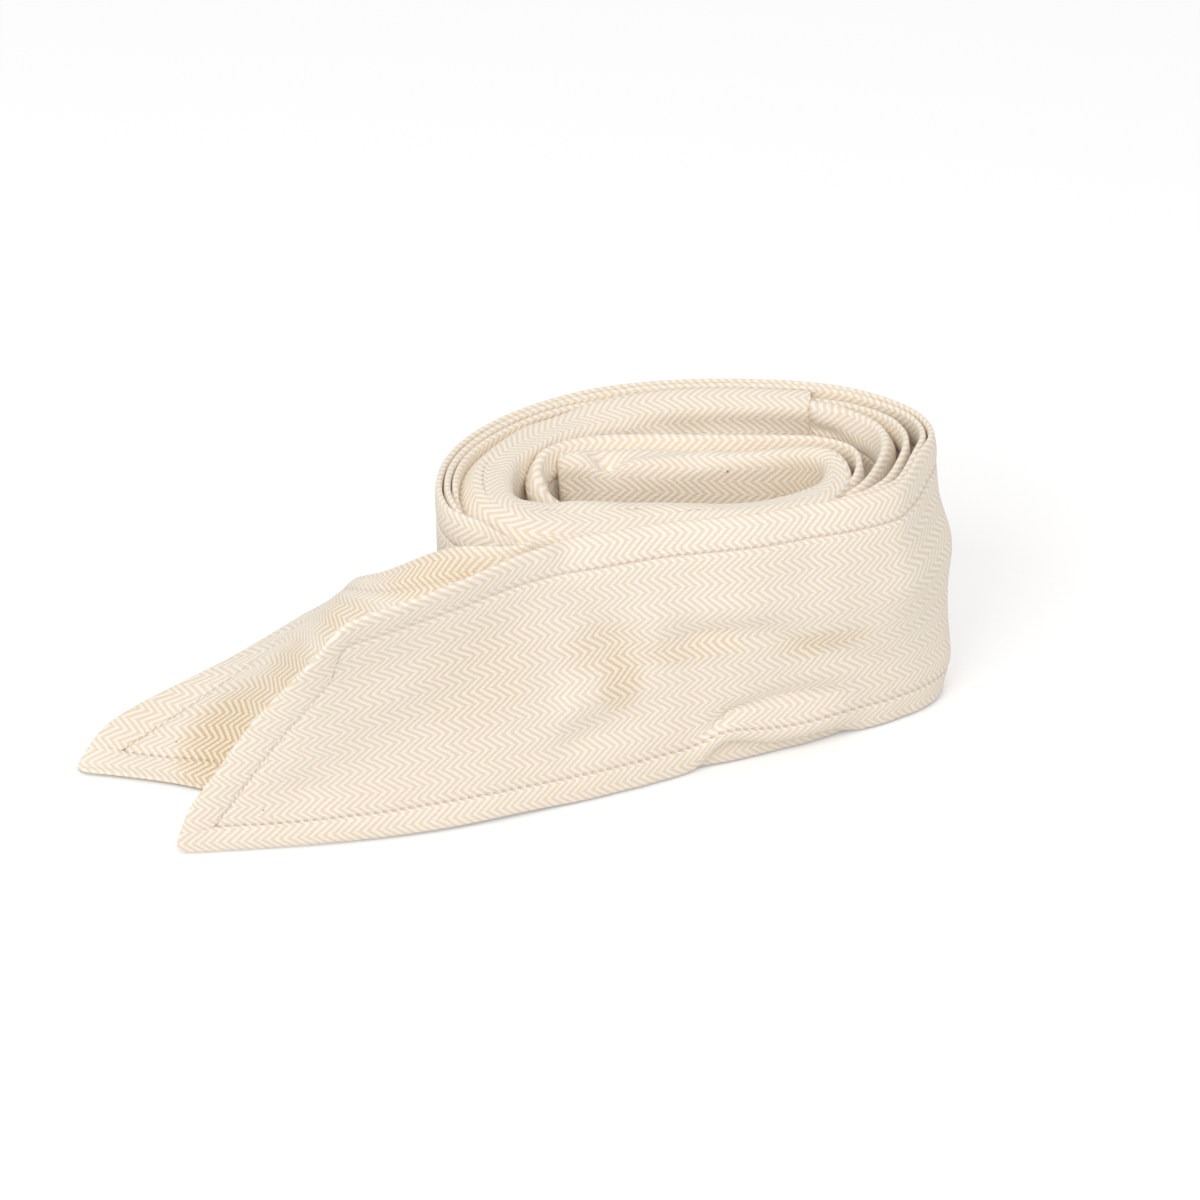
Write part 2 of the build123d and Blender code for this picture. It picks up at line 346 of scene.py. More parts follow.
@dataclass
class Tie:
    """One tie of the sling: a doubled band with a slanted end, wound into the roll.

    Lengths along it start at the tip of its free end.  leans holds rows of (share of the free
    end from the hinge, low, middle, high lean in degrees, sideways lead).  sinks holds rows of
    (share of the wound length, how much lower it stands).  hollows and rubbed are patches of the
    cloth: hollows deeper in colour by painted shade, rubbed without needle holes and their painted
    shade.  gather is how much thicker it gets at the join, within two lengths from it.  bend is
    where the free end bends: the direction on plan in which it leaves, and where the bend starts
    and ends; it is not used.  crown is how far the upper hem tips inwards, lowest the least height
    of the free end's middle, lip whether the lower hem has rucked up at the front.
    """

    name: str
    body: str
    wound: Sequence[Pair]
    tail: Sequence[Pair]
    leans: Sequence[Row]
    sinks: Sequence[Pair]
    seed: float
    gather: float
    tail_folds: tuple[Fold, ...] = ()
    # Patches of painted shade that deepen the cloth's colour where it lies in shade.
    painted_shade_patches: tuple[Row, ...] = ()
    # Patches left without needle holes, and so without their painted shade.
    holes_left_out: tuple[Row, ...] = ()
    gathered: Pair = (60, 25)
    bend: Triple = (math.radians(243.3), 2.0, 14.0)
    crown: float = 0.36
    lowest: float = 1.45
    lip: bool = False
    step: float = 3.0

    def __post_init__(self) -> None:
        """Lay out the whole line, and how the standing cloth leans along it."""
        self.line = PlanCurve(list(self.tail)[::-1] + list(self.wound)[1:])
        self.length = self.line.length
        self.hinge = self.line.nearest(*self.tail[0])
        self.heading = soften(self.line.tangents, 225).T
        self.stations = np.arange(0, self.hinge + 4, STATION)
        self.levels = np.linspace(0, BAND_WIDTH, 71)
        self._lean()

    def _lean(self) -> None:
        """Tables of how far back, up and aside the cloth stands, by station and level."""
        table = np.array(self.leans, float)
        share = np.clip(1 - self.stations / self.hinge, 0, 1)
        low, mid, high, lead = (np.interp(share, table[:, 0], table[:, k]) for k in range(1, 5))
        across = self.levels / BAND_WIDTH
        angles = np.array([np.interp(across, (0, 0.17, 0.5, 0.83, 1), (a, a, b, c, c))
                           for a, b, c in zip(low, mid, high)])
        angles = np.radians(angles)
        step = self.levels[1]
        between = (angles[:, 1:] + angles[:, :-1]) / 2
        start = np.zeros((len(share), 1))
        back = np.hstack((start, np.cumsum(np.sin(between) * step, axis=1)))
        rise = np.hstack((start, np.cumsum(np.cos(between) * step, axis=1)))
        aside = np.repeat(lead[:, None], len(self.levels), axis=1)
        self.tables = np.stack([soften(table, 13) for table in (back, rise, aside)])

    def _stance(self, along: Array, level: Array) -> Array:
        """Back, up and sideways lead of the cloth at places on the band."""
        rows = np.clip(along / STATION, 0, len(self.stations) - 1.001)
        cols = np.clip(level / self.levels[1], 0, len(self.levels) - 1.001)
        r, c = rows.astype(int), cols.astype(int)
        fr, fc = rows - r, cols - c
        near = self.tables[:, r, c] * (1 - fc) + self.tables[:, r, c + 1] * fc
        far = self.tables[:, r + 1, c] * (1 - fc) + self.tables[:, r + 1, c + 1] * fc
        return near * (1 - fr) + far * fr

    def edges(self, along: Array) -> tuple[Array, Array, Array]:
        """Lower edge, upper edge and the slope of the upper edge, at lengths from the tip."""
        share = np.clip(along / CUT_LENGTH, 0, 1.25)
        straight = TIP + (BAND_WIDTH - TIP) * share
        high = -np.logaddexp(-straight / 2.2, -BAND_WIDTH / 2.2) * 2.2
        nose = np.sqrt(np.clip(1 - np.clip(1 - along / 6.5, 0, 1) ** 2, 0, 1))
        low = 3.0 * (1 - nose)
        high = low + (high - low) * nose
        slope = (BAND_WIDTH - TIP) / CUT_LENGTH * smooth(BAND_WIDTH - 1, BAND_WIDTH - 7, high)
        return low, high, slope

    def sink(self, along: Array) -> Array:
        """How much lower than the rest the wound cloth stands."""
        table = np.array(self.sinks, float)
        return np.interp((along - self.hinge) / (self.length - self.hinge), table[:, 0], table[:, 1])

    def middle(self, along: Array, level: Array) -> Array:
        """Plan points of the band's middle surface.

        Args:
            along: lengths from the tip.
            level: heights across the band, from its lower edge.

        Returns:
            (n, 3) points in millimetres.
        """
        point, tangent = self.line.at(along)
        is_wound = smooth(self.hinge - 6, self.hinge + 6, along)
        heading = np.stack([np.interp(along, self.line.lengths, row) for row in self.heading], -1)
        tangent = heading + (tangent - heading) * is_wound[:, None]
        inward = leftwards(tangent)
        back, up, lead = self._stance(along, level)
        up = up * (1 - self.sink(along) * is_wound / BAND_WIDTH)
        hem = np.logaddexp(0, (level - UPPER_HEM) / 1.5) * 1.5 * is_wound
        crown = self.crown * smooth(14, -2, point[:, 1] - FRONT_SLOPE * point[:, 0])
        crown = crown * (1 - 0.5 * smooth(72, 100, point[:, 0])) + 0.03
        back = back + hem * crown
        up = up - hem * crown**2 / 2
        place = np.stack((along, level), -1)
        loose = 1 - is_wound * smooth(self.hinge + 160, self.hinge + 260, along) * 0.75
        wave = ripple(place, 42, self.seed) * 1.1 + ripple(place, 17, self.seed + 9) * 0.42
        back = back + wave * loose * smooth(-1, 12, up)
        for fold in self.tail_folds:
            back = back + fold.press(self.hinge - along, level)
        flat = point + inward * back[:, None] + tangent * (lead * up)[:, None]
        points = np.column_stack((flat, up))
        settled = SLUMP.settle(points)
        points = points + (settled - points) * is_wound[:, None]
        if self.lip:
            points = self._lift_lip(points, is_wound, along)
        points[:, 2] = np.maximum(points[:, 2], self.lowest - 0.5 * is_wound)
        return points

    def _lift_lip(self, points: Array, is_wound: Array, along: Array) -> Array:
        """Raise the lower hem where it has rucked up at the front, and round it out."""
        x, _, z = points.T
        outermost = is_wound * smooth(self.hinge + 260, self.hinge + 200, along)
        here = smooth(30, 44, x) * smooth(95, 80, x) * outermost
        fading = np.clip(1 - z / 34, 0, 1) ** 1.6
        height = 4.6 + 6.6 * bell(x - 45, 12)
        arch = 17 + 9 * np.sqrt(np.clip(1 - ((x - 65) / 24) ** 2, 0, 1))   # crease above the lip
        points[:, 1] -= (3.6 * bell(z - 9, 8) - 2.6 * bell(z - arch, 3.4)) * here
        points[:, 1] += 2.0 * bell(z, 3) * here
        points[:, 2] += height * fading * here
        return points

    def normals(self, along: Array, level: Array) -> Array:
        """Unit normals of the middle surface, towards the outer face."""
        step = 0.8
        run = self.middle(along + step, level) - self.middle(along - step, level)
        top = np.minimum(level + step, BAND_WIDTH)
        bottom = np.maximum(level - step, 0)
        rise = self.middle(along, top) - self.middle(along, bottom)
        normal = np.cross(run, rise)
        return normal / np.linalg.norm(normal, axis=1)[:, None]

    def _to_edges(self, along: Array, level: Array) -> tuple[Array, Array]:
        """Distances in the cloth to its lower and its upper edge."""
        low, high, slope = self.edges(along)
        return level - low, (high - level) / np.sqrt(1 + slope**2)

    def margin(self, along: Array, level: Array) -> Array:
        """Distance in the cloth to the nearest cut or folded edge."""
        ends = np.minimum(along * 1.6, self.length - along)
        return np.minimum.reduce((*self._to_edges(along, level), ends)).clip(0)

    def half(self, along: Array, level: Array) -> Array:
        """Half the thickness: full between hem and edge, pinched at the stitching."""
        edge = self.margin(along, level)
        place = np.stack((along, level), -1)
        pucker = ripple(place, 4.5, self.seed + 3)
        half = HALF_TIE + 0.34 * bell(edge - 5.2, 3.4) - 0.42 * bell(edge - HEM, 1.3)
        half += 0.2 * pucker * bell(edge - HEM, 5)
        far, close = self.gathered
        near = smooth(self.length - far, self.length - close, along)
        pleats = ripple(np.stack((along * 0.25, level), -1), 9, self.seed + 5)
        tuck = bell(level - 95.5, 2.4) * smooth(self.length - 24, self.length - 4, along)
        rise = smooth(-2, 9, np.minimum(edge + 2 * (self.length - along < 12), 9))
        half += self.gather * near * (1 + 0.3 * pleats - 0.75 * tuck) * rise
        return half * np.sqrt(1 - (1 - np.clip(edge / 1.25, 0, 1)) ** 2)

    def face(self, along: Array, level: Array, side: Face) -> Array:
        """Plan points on one face of the band."""
        return self.middle(along, level) + self._off(along, level) * side.value

    def _off(self, along: Array, level: Array) -> Array:
        """Steps from the middle surface to the outer face."""
        return self.normals(along, level) * self.half(along, level)[:, None]

    def shares(self) -> Array:
        """Where the rows of vertices run across the band, closest at hems and edges."""
        hem = np.array((0, 0.25, 0.8, 1.7, 3.2, 5.2, 7.6, 9.6, 10.8, HEM, 12.4, 13.8)) / BAND_WIDTH
        inside = np.linspace(hem[-1], 1 - hem[-1], 24)[1:-1]
        return np.concatenate((hem, inside, 1 - hem[::-1]))

    def walk(self) -> Array:
        """Where the rings of vertices stand along the band."""
        tip = np.array((0, 0.2, 0.6, 1.2, 2.0, 3.0, 4.2, 5.6))
        cut = np.arange(7.2, CUT_LENGTH + 8, 1.8)
        rest = np.arange(cut[-1] + 2.4, self.length - 3, self.step)
        end = self.length - np.array((2.4, 1.4, 0.7, 0.3, 0.0))
        return np.concatenate((tip, cut, rest, end))

    def build(self) -> bpy.types.Object:
        """Make the band as one closed double cloth."""
        walk, shares = self.walk(), self.shares()
        low, high, _ = self.edges(walk)
        level = low[:, None] + (high - low)[:, None] * shares[None, :]
        along = np.repeat(walk[:, None], len(shares), axis=1)
        a, l = along.ravel(), level.ravel()
        middle, out = self.middle(a, l), self._off(a, l)
        shape = (len(walk), len(shares), 3)
        outer = (middle + out).reshape(shape)
        inner = (middle - out).reshape(shape)
        back = slice(-2, 0, -1)
        verts = np.concatenate((outer, inner[:, back]), axis=1)
        verts[:, :, 2] = verts[:, :, 2].clip(0)
        ring = verts.shape[1]
        weave = np.stack((along, level), -1)
        turned = np.stack((along, 2 * high[:, None] - level), -1)[:, back]
        stitch = self._stitch_map(along, level)
        flat = np.concatenate((weave, turned), axis=1).reshape(-1, 2)
        seam = np.concatenate((stitch, stitch[:, back]), axis=1).reshape(-1, 2)
        faces = tube_faces(len(walk), ring)
        return MeshPiece(self.name, verts.reshape(-1, 3), faces, flat, seam).build()

    def _stitch_map(self, along: Array, level: Array) -> Array:
        """(length along the nearer line of stitching, distance from it) over the band."""
        a, l = along.ravel(), level.ravel()
        lower, upper = self._to_edges(a, l)
        fine = np.arange(0, self.length + 1, 0.5)
        rise = np.gradient(self.edges(fine)[1], fine)
        path = np.concatenate(([0], np.cumsum(np.sqrt(1 + rise[:-1] ** 2) * 0.5)))
        run = np.where(upper < lower, np.interp(a, fine, path), a)
        aside = np.minimum(upper, lower) - HEM
        return np.stack((run, aside), -1).reshape(*along.shape, 2)

    def stitch_line(self, top: bool, side: Face, start: float, end: float) -> tuple[Array, Array]:
        """Middles and directions of the stitches of one line of topstitching.

        Args:
            top: the line below the upper edge, else the one above the lower edge.
            side: the face of the band that the stitches lie on.
            start: length from the tip where the line begins.
            end: length where it ends.

        Returns:
            (n, 3) points on the cloth, and (n, 3, 3) axes: along, across and out.
        """
        fine = np.arange(start, end, 0.5)
        low, high, slope = self.edges(fine)
        level = high - HEM * np.sqrt(1 + slope**2) if top else low + HEM
        keep = (level > low + HEM * 0.98) & (level < high - HEM * 0.8)
        fine, level = fine[keep], level[keep]
        path = walked(np.column_stack((fine, level)))
        stops = np.arange(1.5, path[-1] - 1, STITCH_PITCH)
        a, l = np.interp(stops, path, fine), np.interp(stops, path, level)
        ahead = np.interp(stops + 0.6, path, fine), np.interp(stops + 0.6, path, level)
        spot = self.face(a, l, side)
        run = self.face(ahead[0], ahead[1], side) - spot
        run /= np.linalg.norm(run, axis=1)[:, None]
        out = self.normals(a, l) * side.value
        across = np.cross(out, run)
        return spot, np.stack((run, across, out), axis=1)


@dataclass(frozen=True)
class Stitcher:
    """Sews a line of stitches: one stitch is modelled, and copied along the line."""

    length: float = 2.1
    width: float = 0.62
    height: float = 0.4

    def one(self) -> tuple[Array, Faces]:
        """One stitch, lying along X with its top towards Z."""
        bpy.ops.object.select_all(action="DESELECT")
        bpy.ops.mesh.primitive_uv_sphere_add(segments=6, ring_count=4, radius=0.5)
        obj = bpy.context.active_object
        bpy.ops.object.mode_set(mode="EDIT")
        bpy.ops.mesh.select_all(action="SELECT")
        bpy.ops.transform.rotate(value=math.pi / 2, orient_axis="Y", center_override=(0, 0, 0))
        bpy.ops.transform.resize(value=(self.length, self.width, self.height),
                                 center_override=(0, 0, 0))
        bpy.ops.object.mode_set(mode="OBJECT")
        verts = np.array([v.co[:] for v in obj.data.vertices])
        faces = [tuple(p.vertices) for p in obj.data.polygons]
        bpy.data.objects.remove(obj, do_unlink=True)
        return verts, faces

    def sew(self, name: str, lines: Sequence[tuple[Array, Array]]) -> bpy.types.Object:
        """Copy the stitch along every line and join them into one piece.

        Args:
            name: name of the piece.
            lines: points and axes, as Tie.stitch_line gives them.

        Returns:
            The new object.
        """
        shape, quads = self.one()
        verts, faces, weave = [], [], []
        for spots, axes in lines:
            for index, (spot, axis) in enumerate(zip(spots, axes)):
                start = len(verts) * len(shape)
                verts.append(spot + shape @ axis)
                weave.append(shape[:, :2] + (index * STITCH_PITCH, 0))
                faces.extend(tuple(start + v for v in quad) for quad in quads)
        flat = np.concatenate(weave)
        return MeshPiece(name, np.concatenate(verts), faces, flat, flat).build()


@dataclass
class ArmPad:
    """The wadded length that goes under the forearm: a soft tube, wider at its top.

    Rows of the route are (x, y, half thickness, crest, brow): where the top's crest lies,
    inwards from the middle, and how far the top hangs out over the ties.  The section has fine
    points from each of its corners to the next, and its crest at one of the corners; cap is the
    most that a point moves when the pad is blown up.
    """

    name: str
    route: Sequence[Row]
    height: float = 104.4
    step: float = 3.6
    slack: float = 0.8
    lobe: float = 10.0
    count: int = 84
    fine: int = 12
    crest: int = 8
    cap: float = 2.2
    frames: int = 20

    def __post_init__(self) -> None:
        """Lay out the pad's line and its section along it."""
        self.line = PlanCurve(self.route)
        self.knots = np.array([self.line.nearest(row[0], row[1]) for row in self.route])
        self.sizes = np.array([row[2:] for row in self.route]).T

    def corners(self, where: float) -> Array:
        """Corners of the section at a length: (inwards from the middle, height), closed."""
        half, crest, brow = (float(np.interp(where, self.knots, row)) for row in self.sizes)
        half -= self.slack
        top = self.height
        crest = max(crest, -half - brow + 2.5)
        over = smooth(0, 4, brow)
        return np.array((
            (-0.5 * half, 0.5), (-half, 7), (-half, 30), (-half, 60), (-half, 84),
            (-half - 0.45 * brow, 91 - over), (-half - brow, 97 - 1.5 * over),
            (-0.45 * half - 0.72 * brow + 0.28 * crest, 101.8), (crest, top),
            (0.4 * crest + 0.6 * half, top - 0.7), (half + 0.4, 100.2), (half, 92), (half, 60),
            (half, 30), (half, 7), (0.5 * half, 0.5)))

    def ring(self, where: float) -> tuple[Array, float]:
        """Evenly spaced points round the section, and where along it the crest comes."""
        corners = self.corners(where)
        size = len(corners)
        share = np.linspace(0, 1, self.fine, endpoint=False)[:, None]
        runs = []
        for k in range(size):
            a, b, c, d = (corners[(k + n) % size] for n in (-1, 0, 1, 2))
            runs.append(0.5 * (2 * b + (c - a) * share + (2 * a - 5 * b + 4 * c - d) * share**2
                               + (3 * b - a - 3 * c + d) * share**3))
        shape = np.vstack((*runs, runs[0][:1]))
        path = walked(shape)
        stops = np.linspace(0, path[-1], self.count, endpoint=False)
        points = np.stack([np.interp(stops, path, shape[:, k]) for k in (0, 1)], -1)
        return points, float(path[self.crest * self.fine])

    def build(self) -> bpy.types.Object:
        """Make the pad a little slack, blow it up with a cloth simulation and smooth it."""
        length = self.line.length
        walk = np.concatenate((np.array((0, 0.5, 1.6)), np.arange(4, length - 10, self.step),
                               length + np.array((-8.0, -5.0, -2.4, 0, 1.8, 3.2, 4.1, 4.6))))
        inside = np.minimum(walk, length)
        point, tangent = self.line.at(inside)
        point = point + tangent * (walk - inside)[:, None]
        inward = leftwards(tangent)
        start = np.interp(walk, (0, 0.5, 1.6), (0.9, 0.97, 1.0))
        gone = np.clip((walk - length - 4.8) / self.lobe + 1, 0, 1)
        end = np.sqrt(np.clip(1 - gone**2, 0.02, 1))
        plain = smooth(length - 130, length - 110, walk)
        rows, weave, seams = [], [], []
        for k, station in enumerate(walk):
            ring, crest = self.ring(min(station, length))
            path = walked(ring)
            flat = point[k] + inward[k] * ring[:, :1] * start[k] * end[k]
            droop = 5.0 * (1 - end[k]) * smooth(60, 104, ring[:, 1])
            rows.append(np.column_stack((flat, ring[:, 1] - droop)))
            weave.append(np.column_stack((np.full(self.count, station), path)))
            aside = np.abs(path - crest) + 30 * plain[k]
            seams.append(np.column_stack((np.full(self.count, station), aside)))
        verts = SLUMP.settle(np.concatenate(rows))
        faces = tube_faces(len(walk), self.count)
        faces += self._cap(0, 1) + self._cap((len(walk) - 1) * self.count, -1)
        maps = np.concatenate(weave), np.concatenate(seams)
        obj = MeshPiece(self.name, verts, faces, *maps).build()
        self._wrap_seam(obj)
        self.plump(obj)
        self.swirl(obj)
        rounding = obj.modifiers.new("rounding", "SUBSURF")
        rounding.levels = rounding.render_levels = 1
        apply_modifier(obj, rounding)
        return obj

    def _cap(self, start: int, turn: int) -> Faces:
        """Quads across an end of the tube, from the bottom to the top."""
        faces = []
        for k in range(self.count // 2):
            left, right = (self.count - k) % self.count, self.count - k - 1
            quad = (start + k, start + k + 1, start + right, start + left)
            faces.append(tuple(dict.fromkeys(quad[::turn])))
        return [face for face in faces if len(face) > 2]

    def swirl(self, obj: bpy.types.Object) -> None:
        """Press the hollow that the folded end winds round, and the groove that runs from it."""
        mesh = obj.data
        points = np.array([v.co[:] for v in mesh.vertices]) / MM + ORIGIN
        hollow = np.hypot((points[:, 0] - 2.5) / 1.3, points[:, 1] - 37.6)
        run = Fold((3, 38), (34, 43), 3.0, 2.6).press(points[:, 0], points[:, 1])
        top = smooth(90, 101, points[:, 2]) * smooth(-30, -20, points[:, 0])
        points[:, 2] -= (9.0 * bell(hollow, 3.4) + run) * top
        mesh.vertices.foreach_set("co", home(points).astype(np.float32).ravel())
        mesh.update()

    def _wrap_seam(self, obj: bpy.types.Object) -> None:
        """Carry the weave on past the bottom seam instead of running it back."""
        data = obj.data.uv_layers["weave"].data
        for face in obj.data.polygons:
            values = [data[i].uv[1] for i in face.loop_indices]
            low, high = min(values), max(values)
            if high - low > 0.1:
                for i in face.loop_indices:
                    if data[i].uv[1] < (low + high) / 2:
                        data[i].uv[1] += high - low

    def plump(self, obj: bpy.types.Object) -> None:
        """Blow the pad up like a stuffed cover, moving no point further than the cap."""
        mesh = obj.data
        before = np.array([v.co[:] for v in mesh.vertices])
        cloth = obj.modifiers.new("plump", "CLOTH")
        cloth.settings.quality = 6
        cloth.settings.mass = 0.2
        cloth.settings.tension_stiffness = 25
        cloth.settings.bending_stiffness = 0.6
        cloth.settings.use_pressure = True
        cloth.settings.uniform_pressure_force = 4
        cloth.settings.shrink_min = -0.035
        cloth.settings.effector_weights.gravity = 0
        scene = bpy.context.scene
        for number in range(1, self.frames + 1):
            scene.frame_set(number)
        apply_modifier(obj, cloth)
        scene.frame_set(1)
        after = np.array([v.co[:] for v in mesh.vertices])
        shift = after - before
        size = np.linalg.norm(shift, axis=1)
        cap = self.cap * MM
        limit = cap * np.tanh(size / cap) / np.maximum(size, 1e-9)
        settled = before + shift * limit[:, None]
        settled[:, 2] = np.maximum(settled[:, 2], 0.2 * MM)
        mesh.vertices.foreach_set("co", settled.astype(np.float32).ravel())
        mesh.update()
        log.info("pad plumped, mean shift %.2f mm", size.mean() * PER_METRE)


@dataclass
class Socket:
    """A shader value that can be added, multiplied and so on; each adds a Math node."""

    nodes: "Nodes"
    link: bpy.types.NodeSocket

    def _maths(self, operation: str, *others: object) -> "Socket":
        """One Math node on this value and others."""
        return self.nodes.node("ShaderNodeMath", [self, *others], operation=operation)

    def __add__(self, other: object) -> "Socket":
        """Sum."""
        return self._maths("ADD", other)

    def __mul__(self, other: object) -> "Socket":
        """Product."""
        return self._maths("MULTIPLY", other)

    def __sub__(self, other: object) -> "Socket":
        """Difference."""
        return self._maths("SUBTRACT", other)

    def __rsub__(self, other: object) -> "Socket":
        """Difference, the other way."""
        return self.nodes.node("ShaderNodeMath", [other, self], operation="SUBTRACT")

    def __truediv__(self, other: object) -> "Socket":
        """Quotient."""
        return self._maths("DIVIDE", other)

    def sine(self) -> "Socket":
        """Sine, in radians."""
        return self._maths("SINE")

    def absolute(self) -> "Socket":
        """Size without sign."""
        return self._maths("ABSOLUTE")

    def pingpong(self, reach: float) -> "Socket":
        """Run up and down between 0 and reach."""
        return self._maths("PINGPONG", reach)

    def above(self, limit: float) -> "Socket":
        """1 above the limit, else 0."""
        return self._maths("GREATER_THAN", limit)

    def graded(self, low: float, high: float) -> "Socket":
        """Smooth step from 0 at low to 1 at high."""
        return self.nodes.node("ShaderNodeMapRange", {0: self, 1: low, 2: high},
                               interpolation_type="SMOOTHSTEP")


class Nodes:
    """Builds the nodes of one material, or of the world."""

    def __init__(self, owner: str | bpy.types.World, end: str = "ShaderNodeOutputMaterial") -> None:
        """Start an empty tree, of a new material where owner is its name."""
        self.material = bpy.data.materials.new(owner) if isinstance(owner, str) else owner
        self.material.use_nodes = True
        self.tree = self.material.node_tree
        self.tree.nodes.clear()
        self.output = self.tree.nodes.new(end)

    def node(self, kind: str, inputs: Sequence[object] | dict[object, object] = (),
             out: int | str = 0, **settings: object) -> Socket:
        """Add a node.

        Args:
            kind: the node's type.
            inputs: values or links of its sockets, by order or by name.
            out: which output is returned.
            settings: its own settings, which are set before its sockets.

        Returns:
            The node's output as a Socket.
        """
        made = self.tree.nodes.new(kind)
        for key, value in settings.items():
            setattr(made, key, value)
        pairs = inputs.items() if isinstance(inputs, dict) else enumerate(inputs)
        for key, value in pairs:
            if isinstance(value, Socket):
                self.tree.links.new(value.link, made.inputs[key])
            else:
                made.inputs[key].default_value = value
        return Socket(self, made.outputs[out])

    def mix(self, factor: Socket | float, first: object, second: object) -> Socket:
        """Mix two colours by a factor."""
        return self.node("ShaderNodeMix", {0: factor, 6: first, 7: second}, 2, data_type="RGBA")

    def clouds(self, vector: Socket, scale: float, detail: float = 2.0) -> Socket:
        """Noise over a vector, from 0 to 1."""
        return self.node("ShaderNodeTexNoise",
                         {"Vector": vector, "Scale": scale, "Detail": detail})

    def seen(self) -> Socket:
        """1 where the camera, a reflection or a view through glass looks, else 0."""
        views = [self.node("ShaderNodeLightPath", out=f"Is {kind} Ray")
                 for kind in ("Camera", "Glossy", "Transmission")]
        return (views[0] + views[1] + views[2]).graded(0.0, 1.0)

    def surface(self, kind: str, inputs: dict[object, object]) -> bpy.types.Material:
        """Add the shader itself and join it to the output."""
        shader = self.node(kind, inputs)
        self.tree.links.new(shader.link, self.output.inputs["Surface"])
        return self.material


def tone(red: int, green: int, blue: int) -> Row:
    """Linear colour from display values of 0 to 255."""
    linear = [c / 255 / 12.92 if c <= 10 else ((c / 255 + 0.055) / 1.055) ** 2.4
              for c in (red, green, blue)]
    return (*linear, 1.0)


@dataclass(frozen=True)
class Herringbone:
    """Unbleached cotton herringbone: pale raised wales, tan threads between them, needle holes with
    painted shade in them, specks, and patches of painted shade in folds.
    """

    name: str = "herringbone_cotton"
    pale: Row = tone(252, 246, 237)
    tan: Row = tone(243, 226, 200)
    # Colour of the painted shade in the needle holes.
    hole_shade: Row = tone(206, 160, 132)
    dull_tan: Row = tone(239, 220, 190)
    # Colours of the painted shade that deepens the tan threads and the pale wales in folds and
    # crevices.
    painted_shade_ochre: Row = tone(206, 164, 98)
    painted_shade_pale: Row = tone(240, 226, 196)
    speck: Row = tone(150, 108, 78)
    relief: float = 0.00016
    # Patches of painted shade that deepen the cloth's colour where it lies in shade.
    painted_shade_patches: tuple[Row, ...] = ()
    # Patches left without needle holes, and so without their painted shade.
    holes_left_out: tuple[Row, ...] = ()

    def make(self) -> bpy.types.Material:
        """Build the material."""
        n = Nodes(self.name)
        weave = n.node("ShaderNodeUVMap", uv_map="weave")
        wander = n.clouds(weave, 140.0)
        parts = self._split(n, weave)
        drift = (wander - 0.5) * 1.1
        along = parts[0] + drift
        across = parts[1] + drift * 0.4
        zigzag = across.pingpong(CHEVRON_REACH)
        phase = (along / WALE_ALONG + zigzag / WALE_ACROSS) * (2 * math.pi)
        wale = phase.sine()
        yarn = (zigzag * (2 * math.pi / 0.84) + along * 1.7).sine()
        grain = n.clouds(weave, 1500.0, 3.0)
        height = wale * 0.5 + yarn * 0.16 + (grain - 0.5) * 0.9
        ridge = height.graded(-0.42, 0.36)
        hollow = n.mix(n.clouds(weave, 28.0), self.tan, self.dull_tan)
        # Painted shade: inside its patches the tan threads and the pale wales turn a deeper
        # yellow-brown.
        hollow = self._paint_shade(n, parts, hollow, self.painted_shade_ochre)
        cloth = n.mix(ridge, hollow, self._paint_shade(n, parts, self.pale, self.painted_shade_pale))
        cloth = n.mix(self._specks(n, weave), cloth, self.speck)
        holes, groove = self._sewing(n)
        # Leave out the needle holes, with their painted shade and their relief, inside these patches.
        for spot in self._patches(parts, self.holes_left_out):
            holes = holes * (1 - spot)
        # Painted shade in the needle holes: the cloth darkens where the stitches sink in.
        cloth = n.mix(holes * 0.54, cloth, self.hole_shade)
        relief = height - holes * 1.6 - groove * 1.4
        bump = n.node("ShaderNodeBump",
                      {"Strength": 1.0, "Distance": self.relief, "Height": relief})
        return n.surface("ShaderNodeBsdfPrincipled", {
            "Base Color": cloth, "Roughness": 0.92, "Normal": bump, "Sheen Weight": 0.25,
            "Sheen Roughness": 0.5, "Specular IOR Level": 0.15})

    def _split(self, n: Nodes, vector: Socket) -> tuple[Socket, Socket]:
        """First two parts of a vector in metres, in millimetres."""
        first, second = (n.node("ShaderNodeSeparateXYZ", [vector], k) for k in (0, 1))
        return first * PER_METRE, second * PER_METRE

    def _patches(self, parts: tuple[Socket, Socket], rows: Sequence[Row]) -> list[Socket]:
        """Soft round patches of the cloth.

        Args:
            parts: length along the band and height across it, in millimetres.
            rows: middle along and across, reach along and across in millimetres, strength.

        Returns:
            One value for each row, 0 outside the patch.
        """
        spots = []
        for along, across, reach, spread, strength in rows:
            u = (parts[0] - along) / reach
            v = (parts[1] - across) / spread
            spots.append((u * u + v * v).graded(1.0, 0.0) * strength)
        return spots

    def _paint_shade(self, n: Nodes, parts: tuple[Socket, Socket], colour: object,
               deep: Row) -> object:
        """Deepen a colour with painted shade in the patches where the cloth lies in shade."""
        for spot in self._patches(parts, self.painted_shade_patches):
            colour = n.mix(spot, colour, deep)
        return colour

    def _specks(self, n: Nodes, weave: Socket) -> Socket:
        """Rare dark flecks of seed in the cotton."""
        gap, cell = (n.node("ShaderNodeTexVoronoi", {"Vector": weave, "Scale": 62.0}, k)
                     for k in (0, 1))
        red = n.node("ShaderNodeSeparateColor", [cell])
        return gap.graded(0.035, 0.02) * red.above(0.86) * 0.8

    def _sewing(self, n: Nodes) -> tuple[Socket, Socket]:
        """The needle holes along the topstitching, and the furrow that it is drawn into."""
        along, aside = self._split(n, n.node("ShaderNodeUVMap", uv_map="stitch"))
        slant = along + aside * 0.7
        place = slant.pingpong(STITCH_PITCH / 2) / 0.85
        far = place * place + (aside / 0.42) * (aside / 0.42)
        return far.graded(1.35, 0.3), aside.absolute().graded(1.3, 0.0)


